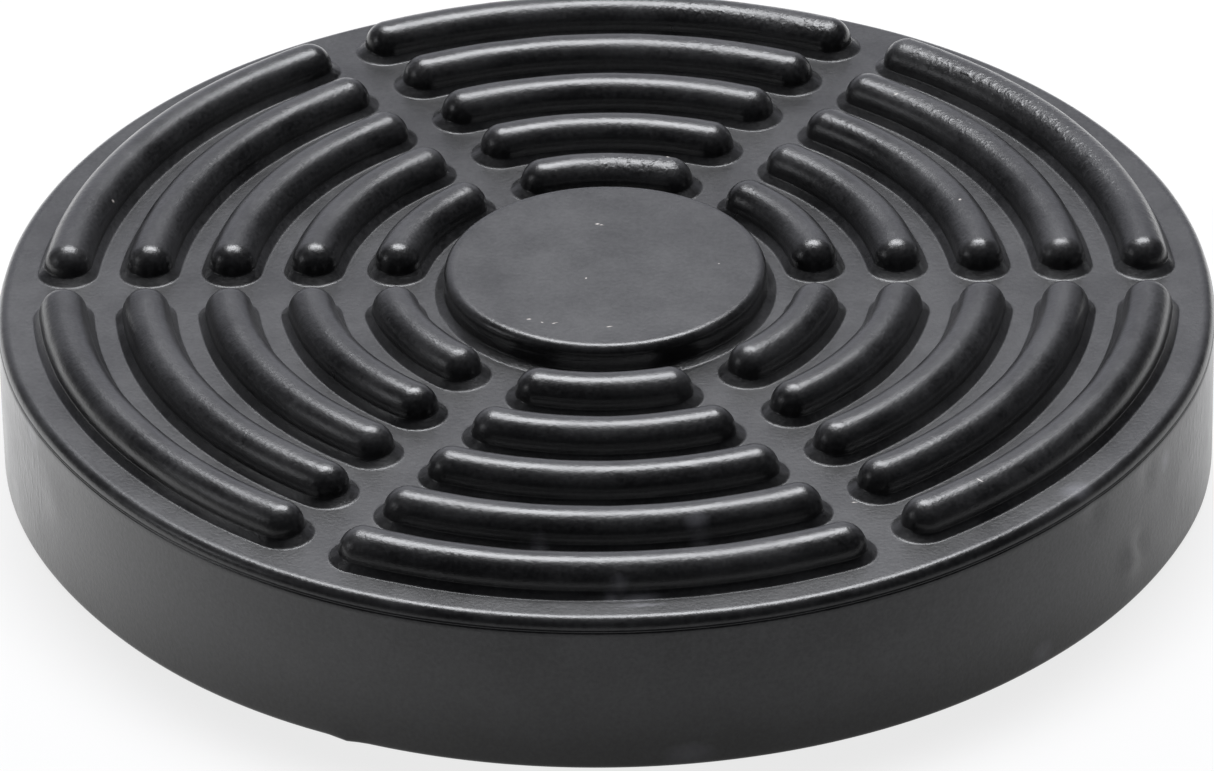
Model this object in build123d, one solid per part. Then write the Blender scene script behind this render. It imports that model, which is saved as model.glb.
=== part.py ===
from build123d import *
from math import asin, atan, cos, degrees, radians, sin
import os

# Rubber pad for the arm of a car lift. One round moulding: a thick disc with a raised boss
# in the middle and thirty curved grip ribs, five rings of six. The boss and every rib stand
# on a low sloping skirt. Millimetres, +Z up, origin in the middle of the flat underside.

# Disc
outer_radius = 70.0
body_height = 19.5          # underside to the land, the flat face that the ribs stand on
shoulder_rounding = 1.3     # radius of the upper rim

# Boss in the middle
boss_radius = 18.6
boss_rise = 3.6             # above the land
boss_rounding = 1.2         # radius of its upper edge

# Grip ribs
sector_count = 6
ring_count = 5
rib_width = 4.9
rib_rise = 3.5              # crest above the land
rib_waist_rise = 1.95       # above the land, where the flank turns in towards the crest
rib_crest_width = 1.9
rib_end_sides = 6           # flat sides that round off each end

# Skirts round the ribs and the boss, and the plain land left between them
skirt_margin = 1.05         # foot of the flank out to the skirt's edge
skirt_rise = 0.55           # above the land, at the foot of the flank
skirt_tuck = 0.1            # how far a rib's skirt runs on inside the rib
spoke_land = 3.0            # between the skirts of two sectors
rim_land = 4.1              # from the outermost skirts to the wall
hub_land = 1.45             # from the boss's skirt to the innermost ones

land = body_height
rib_waist = land + rib_waist_rise
rib_crest = land + rib_rise
boss_top = land + boss_rise
sector_angle = 360 / sector_count
skirt_half_width = rib_width / 2 + skirt_margin
first_ring = boss_radius + skirt_margin + hub_land + skirt_half_width
last_ring = outer_radius - rim_land - skirt_half_width
ring_pitch = (last_ring - first_ring) / (ring_count - 1)


def half_sweep(ring_radius):
    """Degrees from the middle of a rib to the centre that its rounded end turns about."""
    edge_to_spoke = spoke_land / 2 + skirt_half_width
    return sector_angle / 2 - degrees(asin(edge_to_spoke / ring_radius))


def end_corners(ring_radius, half_width, side):
    """Corners of one many-sided end, from the outer flank round to the inner one."""
    turn = side * half_sweep(ring_radius)
    middle_x = ring_radius * cos(radians(turn))
    middle_y = ring_radius * sin(radians(turn))
    corners = []
    for corner in range(rib_end_sides + 1):
        heading = radians(turn + side * 180 * corner / rib_end_sides)
        x = middle_x + half_width * cos(heading)
        y = middle_y + half_width * sin(heading)
        corners.append((x, y))
    return corners


def curved_bar(ring_radius, half_width, height):
    """Plan, at a height, of a bar that follows a ring to either side of the +X axis."""
    sweep = half_sweep(ring_radius)
    with BuildSketch(Plane.XY.offset(height)) as plan:
        with BuildLine():
            CenterArc((0, 0), ring_radius + half_width, start_angle=-sweep, arc_size=2 * sweep)
            Polyline(*end_corners(ring_radius, half_width, 1))
            CenterArc((0, 0), ring_radius - half_width, start_angle=-sweep, arc_size=2 * sweep)
            Polyline(*end_corners(ring_radius, half_width, -1))
        make_face()
    return plan.sketch


def rib(ring_radius):
    """One grip rib: a sloping skirt, upright flanks, then a bevelled crest."""
    edge = curved_bar(ring_radius, skirt_half_width, land)
    foot = curved_bar(ring_radius, rib_width / 2, land)
    waist = curved_bar(ring_radius, rib_width / 2, rib_waist)
    crest_height = rib_crest - rib_waist
    crest_slope = degrees(atan((rib_width - rib_crest_width) / 2 / crest_height))
    skirt_slope = degrees(atan(skirt_margin / skirt_rise))
    skirt_height = skirt_rise * (skirt_margin + skirt_tuck) / skirt_margin
    skirt = extrude(edge, skirt_height, taper=skirt_slope)
    flanks = extrude(foot, rib_waist - land)
    crest = extrude(waist, crest_height, taper=crest_slope)
    return skirt + flanks + crest


def rounded_edge(radius, height, rounding):
    """An outer edge of the turned section, rounded off in two flats, from its wall upwards."""
    points = []
    for turn in (0, 45, 90):
        inwards = rounding * (1 - cos(radians(turn)))
        down = rounding * (1 - sin(radians(turn)))
        points.append((radius - inwards, height - down))
    return points


def turned_disc():
    """The moulding without its ribs, turned from half its section."""
    with BuildSketch(Plane.XZ) as section:
        with BuildLine():
            Polyline(
                (0, 0),
                (outer_radius, 0),
                *rounded_edge(outer_radius, land, shoulder_rounding),
                (boss_radius + skirt_margin, land),
                (boss_radius, land + skirt_rise),
                *rounded_edge(boss_radius, boss_top, boss_rounding),
                (0, boss_top),
                close=True,
            )
        make_face()
    return revolve(section.sketch, Axis.Z)


def in_every_sector(bar):
    """Copies of a bar, one across the middle of each sector."""
    return [bar.rotate(Axis.Z, sector_angle * (sector + 0.5)) for sector in range(sector_count)]


def rubber_pad():
    """The whole moulding, one solid."""
    ribs = []
    for ring in range(ring_count):
        ribs += in_every_sector(rib(first_ring + ring_pitch * ring))
    return turned_disc() + ribs


os.makedirs("parts", exist_ok=True)
export_step(rubber_pad(), "parts/rubber_pad.step")
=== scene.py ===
import math

import bmesh
import bpy
from mathutils import Matrix, Vector, noise
from mathutils.geometry import delaunay_2d_cdt


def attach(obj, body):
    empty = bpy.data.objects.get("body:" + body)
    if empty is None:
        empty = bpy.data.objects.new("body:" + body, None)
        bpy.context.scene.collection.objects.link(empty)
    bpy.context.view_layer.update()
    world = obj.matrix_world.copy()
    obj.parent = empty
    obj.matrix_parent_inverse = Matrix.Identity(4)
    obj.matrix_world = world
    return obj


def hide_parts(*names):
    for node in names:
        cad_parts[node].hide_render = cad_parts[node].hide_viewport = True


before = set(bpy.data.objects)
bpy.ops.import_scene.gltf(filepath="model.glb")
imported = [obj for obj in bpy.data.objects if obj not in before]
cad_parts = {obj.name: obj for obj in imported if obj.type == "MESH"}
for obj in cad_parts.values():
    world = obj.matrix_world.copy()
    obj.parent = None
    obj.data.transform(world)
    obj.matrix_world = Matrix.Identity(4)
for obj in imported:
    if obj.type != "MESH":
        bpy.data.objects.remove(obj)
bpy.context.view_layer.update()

# Lift arm rubber pad: one compression-moulded disc of black rubber with a boss in the middle
# and thirty curved grip ribs. Sizes are in millimetres and angles in degrees. Heights in the
# section lists are above the land, the flat face that the ribs stand on.
MM = 0.001

# Disc
outer_radius = 70.0
land = 19.5
shoulder_radius = 1.3
foot_radius = 0.7
rim_land_edge = outer_radius - 1.8      # where the land ends and the turned rim begins

# Parting line, where the two halves of the mould met, from the foot of the shoulder down: how
# far each point stands out from the wall, and how far below the shoulder it lies
mould_step = 0.05           # the upper half is this much narrower
parting_line = [
    (-0.05, 0.02), (0.02, 0.06), (0.03, 0.12), (-0.02, 0.17),
    (-0.13, 0.20), (-0.14, 0.27), (-0.05, 0.33), (0.0, 0.42),
]

# Boss, with the witness line that the mould's loose core left round its wall
boss_radius = 18.6
boss_rise = 3.6
boss_shoulder = 1.2
witness_height = 1.92

# Ribs
sector_count = 6
ring_radii = [24.6, 34.05, 43.5, 52.95, 62.4]
rib_half_width = 2.75       # and the radius of the section, as a ball-ended cutter leaves it
rib_rise = 3.68
end_gap = 0.4               # how much further the ends stand in from the skirt than the sides
spoke_land = 2.9

# Skirts round the ribs and the boss
rib_skirt_margin = 0.8      # foot of the flank out to the skirt's edge
rib_skirt_slope = 46.0
boss_skirt_margin = 1.05
boss_skirt_slope = 31.0
root_blend = 0.3
skirt_half_width = rib_half_width + rib_skirt_margin
boss_skirt_radius = boss_radius + boss_skirt_margin
land_margin = 0.32          # flat strip of land laid with each skirt
rim_margin = 0.17           # and before the shoulder

# What use and moulding did to the drawn shape. Ripples: width, depth and seed. Swells of a
# round wall: the direction that each faces, its spread in degrees and its depth
rib_ripples = [(6.0, 0.05, 1), (2.6, 0.022, 2)]
face_ripples = [(17.0, 0.05, 3), (6.0, 0.015, 4)]
rim_swells = [(213, 16, -0.40), (-14, 9, 0.28), (-45, 13, -0.16)]
core_slip = (-119, 20, 0.11)    # the loose core sat off centre and left a step on this side
swell_start = 60.0              # radius from which the rim's swells fade in, up to the wall
wall_start = 69.0
flat_foot = 1.0                 # height from the underside up to which nothing ripples

# Blisters, flash (+) and dents (-) of the wall: x, y, height, spread and depth
wall_marks = [
    (59.2, -37.3, -13.3, 1.7, 0.5), (60.2, -35.8, -12.3, 1.1, -0.5),
    (54.8, -43.6, -3.2, 1.2, -0.28), (61.1, -34.2, -4.0, 1.3, -0.28),
    (64.5, -27.0, -9.5, 2.2, 0.12), (-62.5, -31.5, -8.0, 2.5, 0.12),
    (-28.6, -63.9, -19.2, 1.3, 0.42),
]

# Blemishes: x, y, height, length, width and the way the length points, in degrees
# Nicks are not cut into the mesh: the dark colour laid on them is painted shade in their pits
shade_painted_nicks = [
    (2.6, -9.1, 3.6, 1.3, 0.5, -60), (5.3, 22.6, 3.3, 1.5, 0.5, -75),
    (6.2, 22.1, 3.1, 1.3, 0.4, 40), (16.5, 17.3, 3.6, 1.1, 0.5, 20),
    (17.1, 16.6, 3.6, 1.2, 0.4, -60), (52.9, 4.9, 3.6, 0.7, 0.6, 0),
    (2.5, -63.5, 3.4, 0.8, 0.5, 10), (12.9, -61.9, 3.6, 0.8, 0.5, 70),
    (41.5, -47.8, 3.5, 1.4, 0.5, -35), (43.0, -46.3, 3.5, 1.2, 0.4, 30),
    (32.5, -30.5, 3.5, 1.0, 0.5, 40), (10.7, -53.6, 3.0, 1.7, 0.6, -50),
    (35.9, 37.7, 3.4, 1.2, 0.5, 70), (39.2, 33.8, 3.5, 1.4, 0.5, -30),
    (44.4, 42.2, 3.2, 1.3, 0.5, 75), (50.2, 35.6, 3.3, 1.2, 0.5, 80),
]
specks = [
    (-0.9, 9.2, 3.6, 0.6, 0.4, 0), (-0.4, 8.9, 3.6, 0.5, 0.35, 0),
    (-8.7, -12.0, 3.6, 0.5, 0.4, 0), (0.6, -13.9, 3.6, 0.9, 0.25, 15),
    (13.0, -0.1, 3.6, 0.3, 0.25, 0), (-7.1, -12.7, 3.6, 0.5, 0.2, 0),
    (-5.7, -12.9, 3.6, 0.8, 0.2, 8), (-2.2, -3.0, 3.6, 0.3, 0.25, 0),
    (-57.5, 17.3, 2.4, 0.5, 0.5, 0), (7.2, 24.6, 3.5, 0.6, 0.4, 0),
    (34.1, 38.9, 3.4, 0.6, 0.4, 0), (41.8, -47.2, 3.6, 1.0, 0.3, -35),
    (41.0, 13.8, 3.7, 0.5, 0.4, 0), (27.9, -46.0, 0.0, 0.8, 0.3, 0),
]
smears = [
    (10.4, -54.1, 2.4, 3.6, 3.6, 0), (10.7, -54.7, 1.3, 3.0, 2.4, 0),
    (1.9, -65.0, 1.4, 2.6, 1.6, 0), (1.0, -65.6, 0.4, 2.2, 1.6, 0),
    (4.1, -65.6, 0.3, 5.6, 1.4, 5), (4.6, -66.8, 0.0, 6.0, 1.0, 5),
    (-7.0, -55.4, 0.7, 2.6, 2.0, 0), (52.5, -43.8, 0.0, 5.0, 3.4, 40),
    (9.4, -69.4, -18.1, 7.0, 3.0, 0), (49.0, -50.0, -17.9, 4.0, 4.0, 0),
    (63.2, -30.2, -4.7, 3.0, 3.0, 0), (-65.0, -26.0, -2.4, 5.0, 4.0, 0),
]
worn_crests = [
    (46.0, 35.0, 3.4, 50, 17, -52), (7.0, 25.0, 3.4, 26, 9, 0), (16.0, 55.0, 3.4, 36, 14, -10),
]
scraped_wall = [(67.0, -20.0, -9.0, 26, 26, 0), (-66.0, -23.0, -9.0, 22, 22, 0)]

# Colours of the rubber, of what lies on it, and of the painted shade in its nicks
carbon_black, grey_bloom = "#0b0b0c", "#2d2d2e"
nick_painted_shade, rubbed_dust, pale_grit = "#0a0a0a", "#84848a", "#d6cfc8"
dust_share = 0.42           # how much of a smear's dust hides the black

# Its gloss
rib_roughness, flat_roughness = 0.32, 0.38
haze_roughness, wear_roughness = 0.05, 0.05     # up or down with the haze, and up with wear
rubber_ior = 1.57

# Patterns of its skin. The real grain is finer than 0.1 mm and the real rub marks
# about 0.3 mm wide: both are drawn coarser, because at their own size they wouldn't show.
haze_size = 11.0            # bloom and dust lie in clouds about a centimetre wide
grain_size, grain_depth = 0.5, 0.04
scuff_size, scuff_depth = 0.75, 0.06
waver_size, waver_reach = 0.8, 0.35     # how the outlines of the blemishes wander
general_wear, patch_wear = 0.13, 0.7    # share of the rub marks on any crest, and added in a patch
wall_wear = 0.55

# Fineness of the mesh
flank_steps = [13, 19, 25, 31, 37]
end_steps = 14
rim_steps = 360
hub_steps = 180
land_pitch = 1.7            # between the loose points of the land
land_room = 0.6             # from them to the nearest outline
crest_stop = 81             # where a rib's section leaves off and closes up to the crest line

# Lights: name, azimuth, elevation, distance, width and height in metres, and radiance
softboxes = [
    ("overhead_softbox", 0, 66, 0.75, 0.56, 0.32, 12.5),
    ("left_softbox", -100, 24, 0.9, 0.24, 0.18, 2.4),
]
lamp_colour = (0.96, 0.97, 1.0)
room_colour = (0.93, 0.94, 1.04, 1)
room_glow = (-0.10, 0.946, 0.31)        # towards the bright wall behind the pad
glow_edge, glow_middle = 0.57, 0.955
glow_power, glow_level, room_level = 1.7, 0.84, 0.04

# Table: seen as white by the camera; in reflections a painted glow, brighter towards the back
table_half, table_drop = 2.5, 0.05 * MM
table_depth = (-0.30, 1.0, 0.0)
# The brightness is the strength of the painted glow that reflections see
table_front, table_back = (-0.10, 0.35), (0.02, 2.25)       # place in metres, and brightness
table_white_share, table_painted_glow_share = 0.8, 0.6

# Camera, on the axis of its lens from a point of the land
aim_x, aim_y = 0.266, -20.765
camera_distance = 1120.2
camera_azimuth = -0.7646
camera_elevation = 31.547
camera_roll = -0.8644
lens_length = 292.99


def linear(hex_code):
    """An sRGB hex value as the linear RGBA that a shader socket takes."""
    parts = [int(hex_code[i:i + 2], 16) / 255 for i in (1, 3, 5)]
    bent = [c / 12.92 if c <= 0.04045 else ((c + 0.055) / 1.055) ** 2.4 for c in parts]
    return (*bent, 1.0)


def node(tree, kind, settings=None, inputs=None):
    """One shader node: its settings, then each input as a value or as the socket that feeds it."""
    made = tree.nodes.new(kind)
    for name, value in (settings or {}).items():
        setattr(made, name, value)
    for name, value in (inputs or {}).items():
        if isinstance(value, bpy.types.NodeSocket):
            tree.links.new(value, made.inputs[name])
        else:
            made.inputs[name].default_value = value
    return made


# ---- the moulding -------------------------------------------------------------------------

def arc(middle, radius, first, last, steps):
    """Points of a section along an arc, both ends included, angles in degrees."""
    turn = [math.radians(first + (last - first) * step / steps) for step in range(steps + 1)]
    return [(middle[0] + radius * math.cos(a), middle[1] + radius * math.sin(a)) for a in turn]


def skirt_ramp(edge, slope):
    """From the land in over a skirt's edge, which rows close to it keep crisp, and up its slope."""
    return [
        (edge + land_margin, 0.0),
        (edge + 0.07, 0.0),
        (edge - 0.02, 0.02),
        (edge - 0.14, 0.14 * math.tan(slope)),
    ]


def rib_section():
    """Half the section across a rib, from the land in over the skirt and up to the crest.

    The skirt's slope runs into the round flank through a small blend that touches both."""
    slope = math.radians(rib_skirt_slope)
    middle = rib_rise - rib_half_width
    reach = rib_half_width + root_blend
    lean = (root_blend + skirt_half_width * math.sin(slope) - middle * math.cos(slope)) / reach
    foot = math.asin(lean) - slope
    blend = (reach * math.cos(foot), middle + reach * math.sin(foot))
    root = arc(blend, root_blend, 270 - rib_skirt_slope, 180 + math.degrees(foot), 4)
    top = arc((0, middle), rib_half_width, math.degrees(foot), crest_stop, 11)
    return skirt_ramp(skirt_half_width, slope) + root + top[1:]


def boss_root():
    """From the land in over the boss's skirt and up to the foot of its upright wall."""
    slope = math.radians(boss_skirt_slope)
    out = boss_radius + root_blend
    up = (root_blend - (out - boss_skirt_radius) * math.sin(slope)) / math.cos(slope)
    root = arc((out, up), root_blend, 270 - boss_skirt_slope, 180, 4)
    return skirt_ramp(boss_skirt_radius, slope) + root


def half_sweep(ring_radius):
    """Angle from the middle of a skirt to the centre that its rounded end turns about."""
    to_spoke = spoke_land / 2 + skirt_half_width
    return math.radians(180 / sector_count) - math.asin(to_spoke / ring_radius)


def drawn_sweep(ring_radius, half_width):
    """The same angle for one loop of the rib: less by the end gap from its foot in to its crest."""
    share = min(1.0, max(0.0, (skirt_half_width - half_width) / rib_skirt_margin))
    return half_sweep(ring_radius) - end_gap * share / ring_radius


def rib_loop(ring_radius, half_width, steps):
    """Plan of one loop round a rib that lies across the +X axis, counter-clockwise."""
    sweep = drawn_sweep(ring_radius, half_width)
    loop = []
    for side in (1, -1):
        for step in range(steps):
            turn = side * sweep * (2 * step / steps - 1)
            reach = ring_radius + side * half_width
            loop.append((reach * math.cos(turn), reach * math.sin(turn)))
        for step in range(end_steps):
            turn = side * sweep
            heading = turn + math.pi * step / end_steps + (0 if side > 0 else math.pi)
            loop.append((
                ring_radius * math.cos(turn) + half_width * math.cos(heading),
                ring_radius * math.sin(turn) + half_width * math.sin(heading),
            ))
    return loop


def crest_line(ring_radius, steps):
    """Plan of the line that a rib's loops close up to, and which of its points each meets."""
    sweep = drawn_sweep(ring_radius, 0)
    line = []
    for step in range(steps + 1):
        turn = sweep * (2 * step / steps - 1)
        line.append((ring_radius * math.cos(turn), ring_radius * math.sin(turn)))
    outwards = list(range(steps)) + [steps] * end_steps
    back = list(range(steps, 0, -1)) + [0] * end_steps
    return line, outwards + back


class Moulding:
    """Vertices and faces of the pad as they are laid down, in millimetres."""

    def __init__(self):
        self.points = []
        self.faces = []

    def lay(self, plan, height):
        """A row of points at a height above the land. Gives back their numbers."""
        first = len(self.points)
        self.points += [(x, y, land + height) for x, y in plan]
        return list(range(first, len(self.points)))

    def join(self, outer, inner):
        """Faces between two closed rows of the same length."""
        count = len(outer)
        for here in range(count):
            there = (here + 1) % count
            corners = [outer[here], outer[there], inner[there], inner[here]]
            if inner[here] == inner[there]:
                corners.pop()
            self.faces.append(corners)


def turned(plan, turn):
    c, s = math.cos(turn), math.sin(turn)
    return [(x * c - y * s, x * s + y * c) for x, y in plan]


def lay_rib(pad, ring, sector):
    """One rib with its skirt. Gives back the loop that lies on the land."""
    ring_radius, steps = ring_radii[ring], flank_steps[ring]
    turn = math.radians(360 / sector_count * (sector + 0.5))
    rows = [
        pad.lay(turned(rib_loop(ring_radius, half_width, steps), turn), height)
        for half_width, height in rib_section()
    ]
    for outer, inner in zip(rows, rows[1:]):
        pad.join(outer, inner)
    line, meets = crest_line(ring_radius, steps)
    crest = pad.lay(turned(line, turn), rib_rise)
    pad.join(rows[-1], [crest[number] for number in meets])
    return rows[0]


def circle(radius, steps):
    turn = [2 * math.pi * step / steps for step in range(steps)]
    return [(radius * math.cos(a), radius * math.sin(a)) for a in turn]


def lay_turned(pad, section, first):
    """Rows of the disc turned from a section, joined one by one from the first. Gives the last."""
    last = first
    for radius, height in section:
        row = pad.lay(circle(radius, len(first)), height)
        pad.join(last, row)
        last = row
    return last


def wall_section():
    """From the land over the shoulder, the parting line and the wall, to the underside's rim."""
    edge = outer_radius - mould_step - shoulder_radius
    shoulder = arc((edge, -shoulder_radius), shoulder_radius, 90, 6, 9)
    parting = [(outer_radius + out, -shoulder_radius - down) for out, down in parting_line]
    depths = [2.2, 3.0, 4.5, 6.0, 7.5, 9.0, 10.5, 12.0, 13.5, 15.0, 16.5, 17.7, 18.4]
    wall = [(outer_radius, -depth) for depth in depths]
    foot = arc((outer_radius - foot_radius, foot_radius - land), foot_radius, 0, -90, 6)
    return [(edge - rim_margin, 0.0)] + shoulder + parting + wall + foot


def boss_section():
    """From the skirt's edge up the boss's wall and in over its face to near its middle.

    Rows close to the witness line keep its step sharp."""
    witness = [witness_height + step for step in (-0.16, -0.04, 0.04, 0.16)]
    wall = [(boss_radius, height) for height in [1.3] + witness]
    middle = (boss_radius - boss_shoulder, boss_rise - boss_shoulder)
    shoulder = arc(middle, boss_shoulder, 0, 90, 10)
    radii = [boss_radius - 1.4, boss_radius - 2.0, boss_radius - 2.8] + list(range(15, 1, -1))
    return boss_root()[1:] + wall + shoulder + [(radius, boss_rise) for radius in radii]


def lay_land(pad, rim, hub, skirts):
    """The land: everything between the rim, the hub and the skirts, triangulated flat."""
    outline_rows = [rim, hub] + skirts
    numbers = [number for row in outline_rows for number in row]
    place = {number: index for index, number in enumerate(numbers)}
    plan = [Vector(pad.points[number][:2]) for number in numbers]
    reach = int(outer_radius / land_pitch)
    for column in range(-reach, reach + 1):
        for row in range(-reach, reach + 1):
            spot = Vector(((column + 0.5 * (row % 2)) * land_pitch, row * land_pitch))
            if clear_of_outlines(spot):
                numbers.append(len(pad.points))
                pad.points.append((spot.x, spot.y, land))
                plan.append(spot)
    outlines = [[place[number] for number in row] for row in outline_rows]
    _, _, triangles, came_from, _, inside = delaunay_2d_cdt(plan, [], outlines, 1, 1e-6, True)
    for triangle, holders in zip(triangles, inside):
        if holders == [0]:
            pad.faces.append([numbers[came_from[corner][0]] for corner in triangle])


def clear_of_outlines(spot):
    """Whether a point of the plan lies on open land, with room to every outline."""
    distance = spot.length
    room = land_margin + land_room
    if not boss_skirt_radius + room < distance < rim_land_edge - land_room:
        return False
    sector = math.radians(360 / sector_count)
    turn = math.atan2(spot.y, spot.x) % sector - sector / 2
    here = Vector((distance * math.cos(turn), distance * math.sin(turn)))
    for ring_radius in ring_radii:
        sweep = half_sweep(ring_radius)
        held = max(-sweep, min(sweep, turn))
        nearest = Vector((ring_radius * math.cos(held), ring_radius * math.sin(held)))
        if (here - nearest).length < skirt_half_width + room:
            return False
    return True


def rippled(spot, ripples):
    """The smooth random rise or fall that a list of ripples gives at a point."""
    total = 0.0
    for width, depth, seed in ripples:
        total += depth * noise.noise(spot / width + Vector((seed * 7.1, seed * 3.7, seed * 5.3)))
    return total


def swollen(spot, swells):
    """How far a list of swells moves a point of a round wall outwards."""
    turn = math.degrees(math.atan2(spot.y, spot.x))
    total = 0.0
    for middle, spread, depth in swells:
        off = (turn - middle + 180) % 360 - 180
        total += depth * math.exp(-(off / spread) ** 2)
    return total


def marked(spot):
    """How far the blisters, flash and dents move a point of the wall outwards."""
    total = 0.0
    for x, y, height, spread, depth in wall_marks:
        off = (spot - Vector((x, y, land + height))).length
        total += depth * math.exp(-(off / spread) ** 2)
    return total


def settle(mesh):
    """Takes the mesh from drawn to moulded and used. The foot and the underside stay flat."""
    normals = [vertex.normal.copy() for vertex in mesh.vertices]
    for vertex, normal in zip(mesh.vertices, normals):
        spot = vertex.co / MM
        height = spot.z - land
        on_boss = spot.xy.length < boss_radius + 0.01
        if spot.z >= flat_foot:
            on_rib = height > 0.05 and not on_boss
            spot = spot + normal * rippled(spot, rib_ripples if on_rib else face_ripples)
        if on_boss and height > witness_height:
            share = 1 - swollen(spot, [core_slip]) / boss_radius
            spot.x, spot.y = spot.x * share, spot.y * share
        distance = spot.xy.length
        if distance > swell_start:
            share = min(1.0, (distance - swell_start) / (wall_start - swell_start))
            wide = distance + swollen(spot, rim_swells) * share
            if distance > wall_start:
                wide += marked(spot)
            spot.x, spot.y = spot.x * wide / distance, spot.y * wide / distance
        vertex.co = spot * MM


def mould_pad():
    """The whole pad as one closed skin, as it is drawn."""
    pad = Moulding()
    rings, sectors = range(len(ring_radii)), range(sector_count)
    skirts = [lay_rib(pad, ring, sector) for ring in rings for sector in sectors]
    rim = pad.lay(circle(rim_land_edge, rim_steps), 0)
    hub = pad.lay(circle(boss_skirt_radius + land_margin, hub_steps), 0)
    lay_land(pad, rim, hub, skirts)
    underside = [(radius, -land) for radius in (66, 60, 50, 40, 30, 20, 10)]
    pad.faces.append(lay_turned(pad, wall_section() + underside, rim))
    pad.faces.append(lay_turned(pad, boss_section(), hub))
    mesh = bpy.data.meshes.new("moulded_pad")
    mesh.from_pydata([Vector(point) * MM for point in pad.points], [], pad.faces)
    mesh.validate()
    mesh.update()
    return mesh


def face_outwards(mesh):
    skin = bmesh.new()
    skin.from_mesh(mesh)
    bmesh.ops.recalc_face_normals(skin, faces=skin.faces)
    skin.to_mesh(mesh)
    skin.free()


# ---- finishes -----------------------------------------------------------------------------

def new_material(name):
    """A material without nodes, and its node tree."""
    material = bpy.data.materials.new(name)
    material.use_nodes = True
    material.node_tree.nodes.clear()
    return material, material.node_tree


def open_faces(tree, place, height):
    """1 on the land and on the boss's face, the flats of the mould, and 0 elsewhere."""
    flat = node(tree, "ShaderNodeVectorMath", {"operation": "MULTIPLY"}, {0: place, 1: (1, 1, 0)})
    distance = node(tree, "ShaderNodeVectorMath", {"operation": "LENGTH"},
                    {0: flat.outputs["Vector"]}).outputs["Value"]
    low = node(tree, "ShaderNodeMapRange", None, {
        "Value": height, "From Min": (land + 0.18) * MM, "From Max": (land + 0.06) * MM,
    })
    inside_rim = node(tree, "ShaderNodeMapRange", None, {
        "Value": distance,
        "From Min": (outer_radius - 1.0) * MM, "From Max": (outer_radius - 1.5) * MM,
    })
    on_boss = node(tree, "ShaderNodeMapRange", None, {
        "Value": distance,
        "From Min": (boss_radius - 0.9) * MM, "From Max": (boss_radius - 1.4) * MM,
    })
    on_land = node(tree, "ShaderNodeMath", {"operation": "MULTIPLY"},
                   {0: low.outputs["Result"], 1: inside_rim.outputs["Result"]})
    return node(tree, "ShaderNodeMath", {"operation": "MAXIMUM"},
                {0: on_land.outputs["Value"], 1: on_boss.outputs["Result"]}).outputs["Value"]


def strongest(tree, place, blemishes, thickness, soft):
    """How far each point lies inside the nearest of the listed blemishes: 0 outside, 1 inside.

    Soft is the share of a blemish's radius over which it fades in from its edge."""
    total = 0.0
    for x, y, height, length, width, heading in blemishes:
        local = node(tree, "ShaderNodeMapping", {"vector_type": "TEXTURE"}, {
            "Vector": place,
            "Location": (x * MM, y * MM, (land + height) * MM),
            "Rotation": (0, 0, math.radians(heading)),
            "Scale": (length / 2 * MM, width / 2 * MM, thickness / 2 * MM),
        })
        off = node(tree, "ShaderNodeVectorMath", {"operation": "LENGTH"},
                   {0: local.outputs["Vector"]})
        inside = node(tree, "ShaderNodeMapRange", None,
                      {"Value": off.outputs["Value"], "From Min": 1.0, "From Max": 1.0 - soft})
        total = node(tree, "ShaderNodeMath", {"operation": "MAXIMUM"},
                     {0: total, 1: inside.outputs["Result"]}).outputs["Value"]
    return total


def wavering(tree, place):
    """The place, shifted about a little, so that blemishes drawn at it get uneven outlines."""
    waver = node(tree, "ShaderNodeTexNoise", None,
                 {"Vector": place, "Scale": 1 / (waver_size * MM), "Detail": 2.0})
    shift = node(tree, "ShaderNodeVectorMath", {"operation": "MULTIPLY_ADD"},
                 {0: waver.outputs["Color"], 1: (2 * waver_reach * MM,) * 3, 2: place})
    return node(tree, "ShaderNodeVectorMath", {"operation": "SUBTRACT"},
                {0: shift.outputs["Vector"], 1: (waver_reach * MM,) * 3}).outputs["Vector"]


def rubbed_crests(tree, place, height, bare):
    """How worn the crests are: a little on every one, and most in the listed patches."""
    crest = node(tree, "ShaderNodeMapRange", None, {
        "Value": height, "From Min": (land + 1.9) * MM, "From Max": (land + 3.0) * MM,
    })
    patch = strongest(tree, place, worn_crests, 14, 0.6)
    worn = node(tree, "ShaderNodeMath", {"operation": "MULTIPLY_ADD"},
                {0: patch, 1: patch_wear, 2: general_wear})
    on_crest = node(tree, "ShaderNodeMath", {"operation": "MULTIPLY"},
                    {0: crest.outputs["Result"], 1: worn.outputs["Value"]})
    not_flat = node(tree, "ShaderNodeMath", {"operation": "SUBTRACT"}, {0: 1.0, 1: bare})
    return node(tree, "ShaderNodeMath", {"operation": "MULTIPLY"},
                {0: on_crest.outputs["Value"], 1: not_flat.outputs["Value"]}).outputs["Value"]


def scrapes(tree, place, height):
    """How scraped the wall is, below the parting line."""
    below = node(tree, "ShaderNodeMapRange", None, {
        "Value": height, "From Min": (land - 1.8) * MM, "From Max": (land - 3.0) * MM,
        "To Max": wall_wear,
    })
    patch = strongest(tree, place, scraped_wall, 26, 0.9)
    return node(tree, "ShaderNodeMath", {"operation": "MULTIPLY"},
                {0: patch, 1: below.outputs["Result"]}).outputs["Value"]


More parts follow.
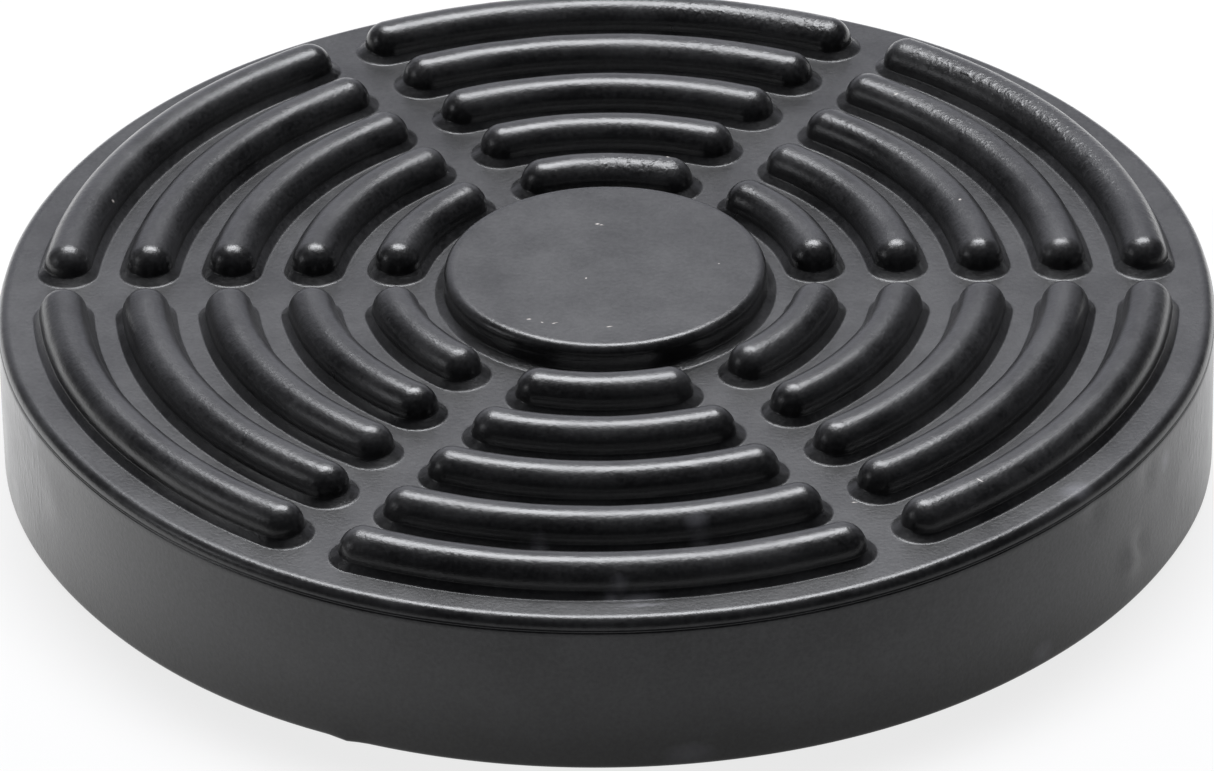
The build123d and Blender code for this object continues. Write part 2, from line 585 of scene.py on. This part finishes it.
def blackness(tree, place, grain, haze):
    """Colour of the rubber: near-black clouded with grey bloom, painted shade in nicks, then dust
    and grit.
    """
    spot = wavering(tree, place)
    cloud = node(tree, "ShaderNodeMath", {"operation": "MULTIPLY_ADD"}, {0: grain, 1: 0.8, 2: haze})
    cloud = node(tree, "ShaderNodeMapRange", None,
                 {"Value": cloud.outputs["Value"], "From Min": 0.72, "From Max": 1.12})
    colour = node(tree, "ShaderNodeMix", {"data_type": "RGBA"},
                  {0: cloud.outputs["Result"], 6: linear(carbon_black), 7: linear(grey_bloom)})
    dust = node(tree, "ShaderNodeMath", {"operation": "MULTIPLY"},
                {0: strongest(tree, spot, smears, 4.0, 0.9), 1: dust_share}).outputs["Value"]
    marks = [
        # painted shade: the nicks are darkened as if their pits were in shade
        (strongest(tree, spot, shade_painted_nicks, 2.0, 0.8), nick_painted_shade),
        (dust, rubbed_dust),
        (strongest(tree, spot, specks, 1.0, 0.9), pale_grit),
    ]
    for share, hex_code in marks:
        colour = node(tree, "ShaderNodeMix", {"data_type": "RGBA"},
                      {0: share, 6: colour.outputs[2], 7: linear(hex_code)})
    return colour.outputs[2]


def satin(tree, bare, haze, wear):
    """Roughness: smoothest on ribs and wall, uneven with the haze, and duller with wear."""
    level = node(tree, "ShaderNodeMapRange", None,
                 {"Value": bare, "To Min": rib_roughness, "To Max": flat_roughness})
    clouded = node(tree, "ShaderNodeMapRange", None, {
        "Value": haze, "From Min": 0.3, "From Max": 0.7,
        "To Min": -haze_roughness, "To Max": haze_roughness,
    })
    both = node(tree, "ShaderNodeMath", {"operation": "ADD"},
                {0: clouded.outputs["Result"], 1: level.outputs["Result"]})
    return node(tree, "ShaderNodeMath", {"operation": "MULTIPLY_ADD"},
                {0: wear, 1: wear_roughness, 2: both.outputs["Value"]}).outputs["Value"]


def relief(tree, place, grain, worn):
    """Fine grain all over, and rub marks, drawn out in height, where the rubber is worn."""
    fine = node(tree, "ShaderNodeBump", None,
                {"Height": grain, "Strength": 0.8, "Distance": grain_depth * MM})
    upright = node(tree, "ShaderNodeVectorMath", {"operation": "MULTIPLY"},
                   {0: place, 1: (1.0, 1.0, 0.45)})
    scuffs = node(tree, "ShaderNodeTexNoise", None, {
        "Vector": upright.outputs["Vector"], "Scale": 1 / (scuff_size * MM),
        "Detail": 1.0, "Roughness": 0.5,
    })
    chips = node(tree, "ShaderNodeMapRange", None,
                 {"Value": scuffs.outputs["Fac"], "From Min": 0.5, "From Max": 0.72})
    rub = node(tree, "ShaderNodeMath", {"operation": "MULTIPLY"},
               {0: worn, 1: chips.outputs["Result"]})
    return node(tree, "ShaderNodeBump", None, {
        "Height": rub.outputs["Value"], "Strength": 1.0, "Distance": scuff_depth * MM,
        "Normal": fine.outputs["Normal"],
    }).outputs["Normal"]


def moulded_black_rubber():
    """Compression-moulded black rubber: carbon black leaves hardly any colour of its own, so
    what the eye sees is the satin skin that the polished mould left, with a haze where bloom
    and dust lie, and fine pits and rub marks on the crests that carry the load."""
    material, tree = new_material("compression_moulded_black_rubber")
    place = node(tree, "ShaderNodeTexCoord").outputs["Object"]
    height = node(tree, "ShaderNodeSeparateXYZ", None, {0: place}).outputs["Z"]
    haze = node(tree, "ShaderNodeTexNoise", None, {
        "Vector": place, "Scale": 1 / (haze_size * MM), "Detail": 5.0, "Roughness": 0.7,
    }).outputs["Fac"]
    grain = node(tree, "ShaderNodeTexNoise", None, {
        "Vector": place, "Scale": 1 / (grain_size * MM), "Detail": 3.0, "Roughness": 0.6,
    }).outputs["Fac"]
    bare = open_faces(tree, place, height)
    wear = rubbed_crests(tree, place, height, bare)
    worn = node(tree, "ShaderNodeMath", {"operation": "ADD"},
                {0: wear, 1: scrapes(tree, place, height)}).outputs["Value"]
    skin = node(tree, "ShaderNodeBsdfPrincipled", None, {
        "Base Color": blackness(tree, place, grain, haze),
        "Roughness": satin(tree, bare, haze, wear),
        "Normal": relief(tree, place, grain, worn),
        "IOR": rubber_ior,
    })
    node(tree, "ShaderNodeOutputMaterial", None, {"Surface": skin.outputs["BSDF"]})
    return material


def matt_white_board_with_painted_glow():
    """Painted white board: dead matt and even. The camera sees bare white with the pad's shadow
    on it. Reflections see it partly as a painted glow, an emission that stands in for how the
    lamps light it, dim in front and bright at the back."""
    material, tree = new_material("matt_white_board_with_painted_glow")
    paint = node(tree, "ShaderNodeBsdfDiffuse", None, {"Color": linear("#e2e2e2")})
    white = node(tree, "ShaderNodeEmission", None, {"Color": (1, 1, 1, 1), "Strength": 1.0})
    place = node(tree, "ShaderNodeTexCoord").outputs["Object"]
    depth = node(tree, "ShaderNodeVectorMath", {"operation": "DOT_PRODUCT"},
                 {0: place, 1: table_depth})
    falloff = node(tree, "ShaderNodeMapRange", None, {
        "Value": depth.outputs["Value"], "From Min": table_front[0], "From Max": table_back[0],
        "To Min": table_front[1], "To Max": table_back[1],
    })
    # painted light: an emission in place of the lit paint, graded from dim in front to bright at
    # the back
    lit = node(tree, "ShaderNodeEmission", None,
               {"Color": (1, 1, 1, 1), "Strength": falloff.outputs["Result"]})
    ray = node(tree, "ShaderNodeLightPath")
    glossy = node(tree, "ShaderNodeMath", {"operation": "MULTIPLY"},
                  {0: ray.outputs["Is Glossy Ray"], 1: table_painted_glow_share})
    seen = node(tree, "ShaderNodeMath", {"operation": "MULTIPLY"},
                {0: ray.outputs["Is Camera Ray"], 1: table_white_share})
    mirrored = node(tree, "ShaderNodeMixShader", None, {
        0: glossy.outputs["Value"], 1: paint.outputs["BSDF"], 2: lit.outputs["Emission"],
    })
    mixed = node(tree, "ShaderNodeMixShader", None, {
        0: seen.outputs["Value"], 1: mirrored.outputs["Shader"], 2: white.outputs["Emission"],
    })
    node(tree, "ShaderNodeOutputMaterial", None, {"Surface": mixed.outputs["Shader"]})
    return material


# ---- studio -------------------------------------------------------------------------------

def lay_table():
    """The table, just under the pad, so that the two flat faces don't share a plane."""
    mesh = bpy.data.meshes.new("white_table")
    corners = [(-1, -1), (1, -1), (1, 1), (-1, 1)]
    points = [(x * table_half, y * table_half, -table_drop) for x, y in corners]
    mesh.from_pydata(points, [], [(0, 1, 2, 3)])
    mesh.materials.append(matt_white_board_with_painted_glow())
    table = bpy.data.objects.new("white_table", mesh)
    bpy.context.scene.collection.objects.link(table)


def hang_softbox(name, azimuth, elevation, distance, width, height, radiance):
    """A soft lamp that faces the pad. Azimuth 0 is straight behind it and 90 to its right."""
    lamp = bpy.data.lights.new(name, "AREA")
    lamp.shape = "RECTANGLE"
    lamp.size, lamp.size_y = width, height
    lamp.energy = radiance * width * height * 4     # about the watts that give this radiance
    lamp.color = lamp_colour
    turn, rise = math.radians(azimuth), math.radians(elevation)
    towards = Vector((
        math.sin(turn) * math.cos(rise), math.cos(turn) * math.cos(rise), math.sin(rise),
    ))
    held = bpy.data.objects.new(name, lamp)
    held.location = towards * distance + Vector((0, 0, land * MM))
    held.rotation_mode = "QUATERNION"
    held.rotation_quaternion = towards.to_track_quat("Z", "Y")
    held.visible_camera = False
    bpy.context.scene.collection.objects.link(held)


def light_room():
    """A dim room with a bright wall behind the pad. The camera sees plain white instead."""
    world = bpy.data.worlds.new("studio_room")
    world.use_nodes = True
    tree = world.node_tree
    tree.nodes.clear()
    ray = node(tree, "ShaderNodeLightPath")
    towards = node(tree, "ShaderNodeTexCoord").outputs["Generated"]
    glow = node(tree, "ShaderNodeVectorMath", {"operation": "DOT_PRODUCT"},
                {0: towards, 1: room_glow})
    share = node(tree, "ShaderNodeMapRange", None, {
        "Value": glow.outputs["Value"], "From Min": glow_edge, "From Max": glow_middle,
    })
    spread = node(tree, "ShaderNodeMath", {"operation": "POWER"},
                  {0: share.outputs["Result"], 1: glow_power})
    level = node(tree, "ShaderNodeMath", {"operation": "MULTIPLY_ADD"},
                 {0: spread.outputs["Value"], 1: glow_level, 2: room_level})
    dim = node(tree, "ShaderNodeBackground", None,
               {"Color": room_colour, "Strength": level.outputs["Value"]})
    white = node(tree, "ShaderNodeBackground", None, {"Color": (1, 1, 1, 1), "Strength": 1.0})
    mixed = node(tree, "ShaderNodeMixShader", None, {
        0: ray.outputs["Is Camera Ray"], 1: dim.outputs["Background"],
        2: white.outputs["Background"],
    })
    node(tree, "ShaderNodeOutputWorld", None, {"Surface": mixed.outputs["Shader"]})
    bpy.context.scene.world = world


def set_camera():
    turn, rise, roll = (math.radians(a) for a in (camera_azimuth, camera_elevation, camera_roll))
    ahead = Vector((
        math.sin(turn) * math.cos(rise), math.cos(turn) * math.cos(rise), -math.sin(rise),
    ))
    right = Vector((math.cos(turn), -math.sin(turn), 0))
    up = right.cross(ahead)
    level_x = right * math.cos(roll) + up * math.sin(roll)
    level_y = up * math.cos(roll) - right * math.sin(roll)
    lens = bpy.data.cameras.new("camera")
    lens.sensor_width = 36
    lens.lens = lens_length
    lens.clip_start, lens.clip_end = 0.05, 10
    camera = bpy.data.objects.new("camera", lens)
    spot = Vector((aim_x, aim_y, land)) * MM - ahead * camera_distance * MM
    held = Matrix((level_x, level_y, -ahead)).transposed().to_4x4()
    camera.matrix_world = Matrix.Translation(spot) @ held
    bpy.context.scene.collection.objects.link(camera)
    bpy.context.scene.camera = camera


def build():
    mesh = mould_pad()
    face_outwards(mesh)
    settle(mesh)
    for face in mesh.polygons:
        face.use_smooth = True
    mesh.materials.append(moulded_black_rubber())
    pad = bpy.data.objects.new("moulded_rubber_pad", mesh)
    bpy.context.scene.collection.objects.link(pad)
    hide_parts("rubber_pad")
    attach(pad, "root")
    lay_table()
    for softbox in softboxes:
        hang_softbox(*softbox)
    light_room()
    set_camera()
    bpy.context.scene.view_settings.view_transform = "Standard"


build()
